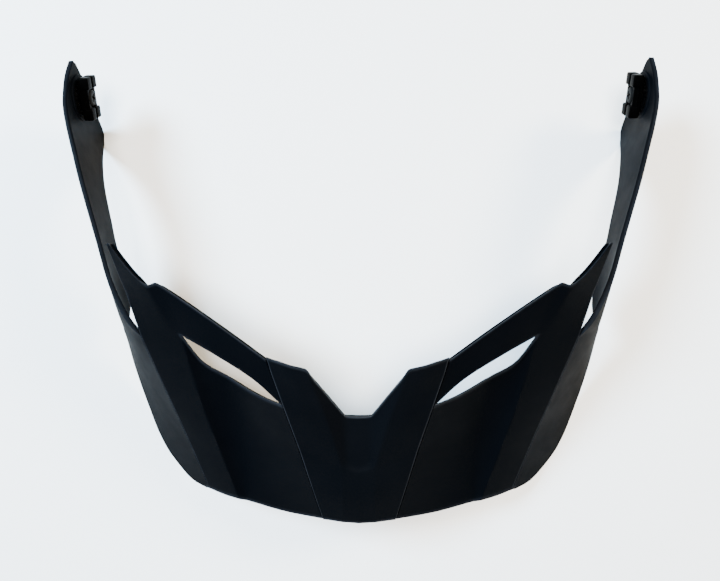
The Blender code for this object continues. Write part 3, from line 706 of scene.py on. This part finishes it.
def cut(target, tool, operation="DIFFERENCE"):
    """Exact Boolean, applied; the tool is removed."""
    modifier = target.modifiers.new("cut", "BOOLEAN")
    modifier.operation = operation
    modifier.object = tool
    graph = bpy.context.evaluated_depsgraph_get()
    mesh = bpy.data.meshes.new_from_object(target.evaluated_get(graph))
    target.modifiers.clear()
    target.data = mesh
    bpy.data.objects.remove(tool)


def add_boss(shell, place, radius, top, end, rounding, bore, surface):
    """Round boss under a shell, between two depths, with a blind bore for a screw."""
    outline = [(0.0, -top), (radius, -top), (radius, -end), (0.0, -end)]
    cut(shell, turned("boss", rounded(outline, rounding), place, surface), "UNION")
    cut(shell, turned("bore", rod_profile(bore, -end - OVERCUT, -SKIN_OVER_BORE), place, surface))


# --- materials ---

class Nodes:
    """A material's nodes, made and linked by short calls. Noise scales are per metre."""

    def __init__(self, name, roughness, **sockets):
        self.material = bpy.data.materials.new(name)
        self.material.use_nodes = True
        self.tree = self.material.node_tree
        self.shader = self.tree.nodes["Principled BSDF"]
        self.shader.inputs["Roughness"].default_value = roughness
        for label, value in sockets.items():
            self.shader.inputs[label.replace("_", " ")].default_value = value
        self.place = self.tree.nodes.new("ShaderNodeTexCoord").outputs["Object"]

    def feed(self, socket, value):
        """Links another node's output to a socket, or sets a constant."""
        if isinstance(value, bpy.types.NodeSocket):
            self.tree.links.new(value, socket)
        else:
            socket.default_value = value

    def add(self, kind, inputs=None, **settings):
        node = self.tree.nodes.new(kind)
        for label, value in settings.items():
            setattr(node, label, value)
        for label, value in (inputs or {}).items():
            self.feed(node.inputs[label], value)
        return node

    def noise(self, scale, detail=3.0, rough=0.5):
        settings = {"Vector": self.place, "Scale": scale, "Detail": detail, "Roughness": rough}
        return self.add("ShaderNodeTexNoise", settings).outputs["Fac"]

    def ramp(self, value, low, high, low_out=0.0, high_out=1.0):
        """`value` mapped from low..high to low_out..high_out, and held there outside."""
        settings = {"Value": value, "From Min": low, "From Max": high, "To Min": low_out, "To Max": high_out}
        return self.add("ShaderNodeMapRange", settings).outputs["Result"]

    def mix(self, share, first, second):
        return self.add("ShaderNodeMix", {0: share, 6: first, 7: second}, data_type="RGBA").outputs[2]

    def math(self, operation, first, second):
        return self.add("ShaderNodeMath", {0: first, 1: second}, operation=operation).outputs[0]

    def bump(self, height, distance, strength, normal=None):
        inputs = {"Height": height, "Distance": distance, "Strength": strength}
        if normal:
            inputs["Normal"] = normal
        return self.add("ShaderNodeBump", inputs).outputs["Normal"]

    def link(self, value, label):
        self.feed(self.shader.inputs[label], value)


def grey(value, blue=0.0):
    """Grey that `blue` tints towards a cool black."""
    return (value, value * (1.0 + 0.35 * blue), value * (1.0 + blue), 1.0)


def moulded_plastic(name, shade, blue, roughness):
    """Spark-eroded black plastic: a fine pebble, handling marks, and a painted highlight on the edges where
    "rim" marks them, in a much paler colour broken up by noise.
    """
    made = Nodes(name, roughness, Specular_IOR_Level=0.01)
    patchy = made.ramp(made.noise(38.0, 4.0, 0.6), 0.35, 0.65)
    colour = made.mix(patchy, grey(shade * 0.85, blue), grey(shade * 1.15, blue * 0.8))
    rim = made.add("ShaderNodeAttribute", attribute_name="rim").outputs["Fac"]
    # Painted highlight: the rims' upper rounding gets a much paler colour, patchy by noise, and a little less
    # roughness, to stand in for the light that rounded edges catch.
    painted_edge_highlight = made.math("MULTIPLY", rim, made.ramp(made.noise(260.0, 2.0), 0.3, 0.6, 0.6, 1.0))
    made.link(made.mix(painted_edge_highlight, colour, grey(shade * 9.0, blue * 0.4)), "Base Color")
    rubbed = made.ramp(made.noise(95.0, 5.0, 0.65), 0.3, 0.75, roughness - 0.05, roughness + 0.07)
    made.link(made.math("SUBTRACT", rubbed, made.math("MULTIPLY", painted_edge_highlight, 0.12)), "Roughness")
    pebble = made.add("ShaderNodeTexVoronoi", {"Vector": made.place, "Scale": 2400.0}, feature="SMOOTH_F1")
    coarse = made.bump(made.noise(900.0, 2.0), 0.00002, 0.5)
    made.link(made.bump(pebble.outputs["Distance"], 0.00003, 0.6, coarse), "Normal")
    return made.material


def glossy_plastic(name):
    """Unfilled black plastic with a polished skin, faint flow marks and dust."""
    made = Nodes(name, 0.36, Specular_IOR_Level=0.005)
    dust = made.ramp(made.noise(1500.0, 2.0), 0.68, 0.74)
    made.link(made.mix(dust, grey(0.0004), grey(0.002)), "Base Color")
    flow = made.ramp(made.noise(220.0, 4.0), 0.3, 0.7, 0.32, 0.42)
    made.link(made.math("ADD", flow, made.math("MULTIPLY", dust, 0.3)), "Roughness")
    made.link(made.bump(made.noise(700.0), 0.00003, 0.4), "Normal")
    return made.material


def steel_finish(name, shade, roughness, metallic):
    """Blackened or bright steel with fine turning marks and light rubbing."""
    made = Nodes(name, roughness, Metallic=metallic, Specular_IOR_Level=0.01)
    marks = made.noise(1800.0)
    rub = made.ramp(made.noise(420.0), 0.55, 0.75)
    made.link(made.mix(rub, grey(shade), grey(min(shade * 2.2, 0.6))), "Base Color")
    made.link(made.ramp(marks, 0.3, 0.7, roughness - 0.08, roughness + 0.1), "Roughness")
    made.link(made.bump(marks, 0.00001, 0.5), "Normal")
    return made.material


def acetal(name):
    """Dull black bearing plastic."""
    made = Nodes(name, 0.5, Specular_IOR_Level=0.02)
    made.link(made.mix(made.ramp(made.noise(300.0), 0.4, 0.7), grey(0.0004), grey(0.0008)), "Base Color")
    made.link(made.bump(made.noise(1300.0, 2.0), 0.00001, 0.5), "Normal")
    return made.material


# --- blade and centre panel ---

def dense(points, z=0.0):
    """Points close together on a style line, for measuring distances to it."""
    return line_through(shifted(points, z=z), even(60))


def soften(sheet, z=0.0):
    """Rounds the valley's edges, the foot of the scoops and the folds that carry no sharp line."""
    def lines(*outlines):
        return [dense(outline, z) for outline in outlines]

    feet = lines(FLOOR_EDGE, [FLOOR_CENTRE[0], FLOOR_EDGE[0]])
    front = lines([CENTRE_FRONT[-1], CREASE_FRONT[-1]], [CREASE_FRONT[-1], FLOOR_EDGE[0]])
    corners = [[Vector(point)] for point in (FIN_INNER[0], BAR_REAR[-1], REAR_WALL[-1])]
    for where, reach, rounds, rim_share in (
            (lines(SCOOP_FOOT, SCOOP_TOP_REAR), 3.2, 16, 0.0),
            (feet, 2.0, 12, RIM_SHARE),
            (front, 1.8, 10, RIM_SHARE),
            (lines(CREASE_REAR), 1.1, 5, RIM_SHARE),
            (lines(SCOOP_TOP), 0.5, 2, RIM_SHARE),
            (lines([FIN_INNER[0], RIDGE_REAR[-1]]), 3.0, 10, RIM_SHARE),
            (corners, 1.2, 2, 0.5)):
        sheet.relax(sheet.near(where, reach), rounds, rim_share)


def under_side(sheet, wall):
    """Inner surface of a shell: `wall` below along evened normals, straight below on the rim."""
    rim = sheet.on_rim[:, None]
    bottom = sheet.points - sheet.normals(NORMAL_ROUNDS) * wall
    for _ in range(UNDERSIDE_ROUNDS):
        bottom = np.where(rim, bottom, 0.5 * (bottom + sheet.average(bottom)))
    return np.where(rim, sheet.points - wall * (0.0, 0.0, 1.0), bottom)


def make_blade(facets, surface):
    recess = centre_patches(POCKET_INSET, 0.0)
    sheet = Sheet([*facets.values(), pocket_strip(), *recess], True)
    inside = {tuple(round(c, 1) for c in p) for grid in recess for line in grid for p in line}
    inside |= {(-x, y, z) for x, y, z in inside}
    sunk = np.array([[tuple(round(float(c), 1) for c in p) in inside] for p in sheet.points], float)
    soften(sheet)
    wall = np.where(sunk > 0, POCKET_DEPTH + POCKET_WALL, BLADE_WALL)
    for _ in range(WALL_ROUNDS):
        wall = 0.5 * (wall + sheet.average(wall))
    top = sheet.points - sunk * (0.0, 0.0, POCKET_DEPTH)
    blade, edge = mesh_object("fine_blade", *sheet.closed(top, under_side(sheet, wall)), surface)
    for side in (1, -1):
        for place in arm_seats(facets, side):
            add_boss(blade, place, ARM_BOSS_RADIUS, ARM_BOSS_TOP, ARM_BOSS_END, ARM_BOSS_ROUNDING,
                     SCREW_BORE, surface)
        hole = rod_profile(PANEL_BOSS_RADIUS + CLEARANCE, PANEL_HOLE_LOW, PANEL_HOLE_HIGH)
        cut(blade, turned("hole", hole, panel_seat(side), surface))
    return finished(blade, edge)


def make_centre_panel(surface):
    sheet = Sheet(centre_patches(PANEL_INSET, PANEL_PROUD), True)
    soften(sheet, PANEL_PROUD)
    sheet.points[:, 1] += PANEL_OVERHANG * sheet.near([dense(REAR_PANEL, PANEL_PROUD)], OVERHANG_REACH)
    bottom = under_side(sheet, np.full((len(sheet.points), 1), PANEL_WALL))
    panel, edge = mesh_object("fine_centre_panel", *sheet.closed(sheet.points, bottom), surface)
    for side in (1, -1):
        add_boss(panel, panel_seat(side), PANEL_BOSS_RADIUS, PANEL_BOSS_TOP, PANEL_BOSS_END,
                 PANEL_BOSS_ROUNDING, PANEL_SCREW_RADIUS + CLEARANCE, surface)
    return finished(panel, edge)


# --- arms ---

def along_line(points, level, otherwise):
    """Distance along a polyline at which `level` of its points rises through 0, or `otherwise`."""
    values = [level(p) for p in points]
    run = 0.0
    for a, b, p, q in zip(values, values[1:], points, points[1:]):
        step = np.linalg.norm(q - p)
        if a < 0.0 <= b:
            return run + step * a / (a - b)
        run += step
    return otherwise


def resample(points, start, end, shares):
    """Points at shares of the stretch between two distances along a polyline."""
    lengths = np.concatenate([[0.0], np.cumsum(np.linalg.norm(np.diff(points, axis=0), axis=1))])
    at = start + (end - start) * np.asarray(shares)
    return np.stack([np.interp(at, lengths, points[:, k]) for k in range(3)], axis=1)


def arm_inside(outer, normals):
    """Inner surface of an arm. Its edges face up beside the blade, inwards above the ear and down below."""
    shares = spread(outer.shape[1] - 1)
    inner = np.empty_like(outer)
    for j, (row, out) in enumerate(zip(outer, normals)):
        body = row - out * ARM_WALL
        first, last = body[1] - body[0], body[-1] - body[-2]
        line = np.vstack([body[0] - first / max(np.linalg.norm(first), TINY) * EDGE_REACH, body,
                          body[-1] + last / max(np.linalg.norm(last), TINY) * EDGE_REACH])
        total = np.linalg.norm(np.diff(line, axis=0), axis=1).sum()
        low = max(row[-1][2], 0.0)
        above = along_line(line, lambda p: row[0][2] - p[2], EDGE_REACH)
        beside = along_line(line, lambda p: p[0] - row[0][0], above)
        below = along_line(line, lambda p: low - p[2], total - EDGE_REACH)
        turn = min(max((row[0][1] - RIDGE[-1][1]) / EDGE_TURN, 0.0), 1.0)
        start = beside + (above - beside) * ease(turn)
        inner[j] = resample(line, start, max(below, start + INSIDE_LEAST), shares)
    return inner


def add_tab(arm, tree, place, right, surface):
    """Tab under the blade, with a hole for its screw, that starts inside the arm's wall.

    `tree` holds the right arm's outer surface, and `right` is the same tab's place on that arm.
    """
    way = right.to_3x3() @ Vector((1.0, 0.0, 0.0))
    reaches = []
    for across in (-TAB_HALF_WIDTH, 0.0, TAB_HALF_WIDTH):
        for height in (-TAB_TOP, -TAB_TOP - TAB_THICKNESS):
            start = right @ (Vector((0.0, across, height)) * MM)
            reaches.append(tree.ray_cast(start / MM, way)[3])
    low = (-TAB_INNER_REACH, -TAB_HALF_WIDTH, -TAB_TOP - TAB_THICKNESS)
    high = (min(reaches) - TAB_COVER, TAB_HALF_WIDTH, -TAB_TOP)
    cut(arm, block("tab", place, low, high, TAB_ROUNDING, surface), "UNION")
    bore = rod_profile(SCREW_BORE, -TAB_TOP - TAB_THICKNESS - OVERCUT, -TAB_TOP + OVERCUT, SLIGHT)
    cut(arm, turned("bore", bore, place, surface))


def make_arm(name, side, facets, surface):
    grid = arm_patch()
    sheet = Sheet([grid], False)
    shape = (len(grid), len(grid[0]), 3)
    sheet.points[:, 2] = np.maximum(sheet.points[:, 2], 0.0)
    outer = sheet.points.reshape(shape)
    normals = sheet.normals(ARM_NORMAL_ROUNDS).reshape(shape)
    inner = arm_inside(outer, normals).reshape(-1, 3)
    tree = BVHTree.FromPolygons([tuple(p) for p in sheet.points], sheet.faces)
    arm, edge = mesh_object(name, *sheet.closed(sheet.points, inner), surface, side)
    for place, right in zip(arm_seats(facets, side), arm_seats(facets, 1)):
        add_tab(arm, tree, place, right, surface)
    place = pivot_frame(side)
    disc = [(0.0, PAD_BOSS_FACE_X), (PAD_BOSS_RING, PAD_BOSS_FACE_X), (PAD_BOSS_RADIUS, PAD_BOSS_FACE_X),
            (PAD_BOSS_RADIUS, PAD_BOSS_ROOT_X), (0.0, PAD_BOSS_ROOT_X)]
    pocket = rod_profile(RING_OUTER + CLEARANCE, PAD_FACE_X - OVERCUT, PAD_FACE_X + RING_POCKET_DEPTH, SLIGHT)
    bore = rod_profile(SCREW_BORE, PAD_FACE_X, PIVOT_TIP_X + CLEARANCE, SLIGHT)
    cut(arm, turned("disc", rounded(disc, PAD_BOSS_ROUNDING), place, surface, 72), "UNION")
    cut(arm, turned("pocket", pocket, place, surface, 72))
    cut(arm, turned("bore", bore, place, surface))
    finished(arm, edge)
    for face in arm.data.polygons:
        if abs(abs(face.center.x) - PAD_BOSS_FACE_X * MM) < 2.0 * SAME_PLACE * MM:
            face.use_smooth = False
    return arm


# --- plugs and screws ---

def make_plug(name, side, surface):
    """Key plug: a web with two lumps at each end, a rib along both sides and a counterbore."""
    place = pivot_frame(side) @ Matrix.Rotation(side * PLUG_TILT, 4, "Z")
    half, tall = PLUG_LENGTH / 2, PLUG_HEIGHT / 2
    web_end, web_side = half - WEB_INSET_ALONG, tall - WEB_INSET_ACROSS
    plug = block(name, place, (-web_end, -web_side, PLUG_WEB_X), (web_end, web_side, PLUG_FOOT_X),
                 WEB_ROUNDING, surface)
    for end in (-1, 1):
        low, high = sorted((end * (half - LUMP_LENGTH), end * half))
        for across in (-1, 1):
            near, far = sorted((across * LUMP_HALF_GAP, across * tall))
            lump = block("lump", place, (low, near, PLUG_END_X), (high, far, LUMP_FOOT_X), LUMP_ROUNDING,
                         surface, 4)
            cut(plug, lump, "UNION")
        base = block("base", place, (low + BASE_INSET, -tall + BASE_INSET, BASE_LOW_X),
                     (high - BASE_INSET, tall - BASE_INSET, BASE_HIGH_X), BASE_ROUNDING, surface)
        cut(plug, base, "UNION")
    rib_end = half - LUMP_LENGTH + RIB_OVERLAP
    for across in (-1, 1):
        low, high = sorted((across * (tall - RIB_INSET_LOW), across * (tall - RIB_INSET_HIGH)))
        rib = block("rib", place, (-rib_end, low, RIB_LOW_X), (rib_end, high, RIB_HIGH_X), RIB_ROUNDING,
                    surface)
        cut(plug, rib, "UNION")
    seat_hole = rod_profile(PLUG_SEAT_RADIUS, PLUG_END_X - OVERCUT, PLUG_SEAT_X)
    bore = rod_profile(SCREW_BORE, PLUG_END_X - OVERCUT, PLUG_FOOT_X + OVERCUT, SLIGHT)
    cut(plug, turned("seat", seat_hole, place, surface, 64))
    cut(plug, turned("bore", bore, place, surface))
    return smooth(plug)


def cross_recess(screw, place, face, depth, reach, width, surface):
    """Cross-shaped driver recess, with its arms a little rounded; `width` is half an arm's width."""
    for turn in (0.0, math.pi / 2):
        bar = block("bar", place @ Matrix.Rotation(turn, 4, "Z"), (-reach, -width, face - OVERCUT),
                    (reach, width, face + depth), width * RECESS_ROUNDING, surface)
        cut(screw, bar)


def make_screw(name, place, seat_depth, tip_depth, sizes, surface):
    """Pan-head screw driven from below; rings on its shank stand for the thread's crests."""
    shank, head, height = sizes
    foot = -seat_depth - height
    outline = [(0.0, -tip_depth), (shank * TIP_FLAT, -tip_depth), (shank, -tip_depth - TIP_TAPER)]
    for i in range(int((seat_depth - tip_depth - THREAD_MARGIN) / THREAD_PITCH)):
        crest = -tip_depth - THREAD_START - i * THREAD_PITCH
        outline += [(shank, crest), (shank * THREAD_ROOT, crest - THREAD_PITCH / 2)]
    outline += [(shank, -seat_depth)]
    outline += rounded([(shank, -seat_depth), (head, -seat_depth), (head, foot + height * HEAD_CROWN),
                        (head * HEAD_FLAT, foot), (0.0, foot)], HEAD_ROUNDING)[1:]
    screw = turned(name, outline, place, surface)
    cross_recess(screw, place, foot, height * RECESS_DEPTH, head * RECESS_REACH, head * RECESS_HALF_WIDTH,
                 surface)
    return smooth(screw)


def make_pivot_screw(name, side, surface):
    """Screw on a pivot's axis, driven from the inner side of the arm."""
    place = pivot_frame(side)
    face = PIVOT_HEAD_UNDER_X - PIVOT_HEAD_HEIGHT
    shank, head = SCREW_RADIUS, PIVOT_HEAD_RADIUS
    outline = [(0.0, PIVOT_TIP_X), (shank * TIP_FLAT, PIVOT_TIP_X), (shank, PIVOT_TIP_X - PIVOT_TIP_TAPER),
               (shank, PIVOT_HEAD_UNDER_X), (head, PIVOT_HEAD_UNDER_X), (head, face + PIVOT_HEAD_TAPER),
               (head * HEAD_FLAT, face), (0.0, face)]
    screw = turned(name, rounded(outline, PIVOT_ROUNDING), place, surface)
    cross_recess(screw, place, face, *PIVOT_RECESS, surface)
    return smooth(screw)


# --- stage ---

def area_light(name, place, size, energy, colour):
    light = bpy.data.lights.new(name, "AREA")
    light.shape = "DISK"
    light.size = size
    light.energy = energy
    light.color = colour
    made = placed(name, light)
    made.location = place
    made.rotation_euler = (Vector(LIGHT_TARGET) - Vector(place)).to_track_quat("-Z", "Y").to_euler()


def make_stage():
    """White table, pale sky, and two windows and a ceiling lamp."""
    table = Nodes("table_white", 0.55, Base_Color=TABLE_COLOUR)
    table.link(table.bump(table.noise(60.0), 0.0004, 0.05), "Normal")
    bm = bmesh.new()
    bmesh.ops.create_grid(bm, x_segments=1, y_segments=1, size=TABLE_HALF_WIDTH)
    floor = from_bmesh("floor", bm, table.material)
    floor.location.z = -TABLE_DROP
    world = bpy.data.worlds.new("studio")
    bpy.context.scene.world = world
    world.use_nodes = True
    sky = world.node_tree.nodes["Background"]
    sky.inputs["Color"].default_value = SKY_COLOUR
    sky.inputs["Strength"].default_value = SKY_STRENGTH
    for light in LIGHTS:
        area_light(*light)


def make_camera():
    camera = bpy.data.cameras.new("camera")
    camera.sensor_width = 36.0
    camera.lens = 36.0
    camera.clip_start = 0.01
    made = placed("camera", camera)
    made.location = CAMERA_PLACE
    made.rotation_euler = (0.0, CAMERA_TILT, 0.0)
    bpy.context.scene.camera = made


# --- assembly ---

def stand_for(piece, node, body):
    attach(piece, body)
    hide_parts(node)


def main():
    make_camera()
    make_stage()
    shell = moulded_plastic("shell_plastic", 0.0007, 1.4, 0.56)
    # The panel's plastic is the shell's in a paler and less blue copy. The extra paleness is painted light
    # that brings the centre panel up to the brightness of the facets beside it.
    cover = moulded_plastic("panel_plastic", 0.0011, 1.0, 0.52)
    gloss = glossy_plastic("plug_plastic")
    steel = steel_finish("blackened_steel", 0.004, 0.42, 0.0)
    spring = steel_finish("spring_steel", 0.05, 0.3, 1.0)
    resin = acetal("ring_acetal")

    facets = facet_patches()
    stand_for(make_blade(facets, shell), "blade", "visor")
    stand_for(make_centre_panel(cover), "centre_panel", "visor")
    arm_screw = (SCREW_RADIUS, SCREW_HEAD_RADIUS, SCREW_HEAD_HEIGHT)
    panel_screw = (PANEL_SCREW_RADIUS, PANEL_SCREW_HEAD_RADIUS, PANEL_SCREW_HEAD_HEIGHT)
    arm_screw_seat = TAB_TOP + TAB_THICKNESS + CLEARANCE
    tip_depth = SKIN_OVER_BORE + CLEARANCE
    for label, side in (("left", -1), ("right", 1)):
        stand_for(make_arm("fine_arm_" + label, side, facets, shell), "arm_" + label, "visor")
        for where, place in zip(("front", "rear"), arm_seats(facets, side)):
            node = f"arm_screw_{where}_{label}"
            screw = make_screw("fine_" + node, place, arm_screw_seat, tip_depth, arm_screw, steel)
            stand_for(screw, node, "visor")
        node = "panel_screw_" + label
        screw = make_screw("fine_" + node, panel_seat(side), PANEL_SCREW_SEAT, tip_depth, panel_screw, steel)
        stand_for(screw, node, "visor")
        stand_for(make_plug("fine_plug_" + label, side, gloss), "plug_" + label, label + "_plug")
        node = "pivot_screw_" + label
        stand_for(make_pivot_screw("fine_" + node, side, steel), node, "visor")
        for node, surface in (("index_ring_" + label, resin), ("wave_washer_" + label, spring)):
            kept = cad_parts[node]
            kept.data.materials.clear()
            kept.data.materials.append(surface)


main()
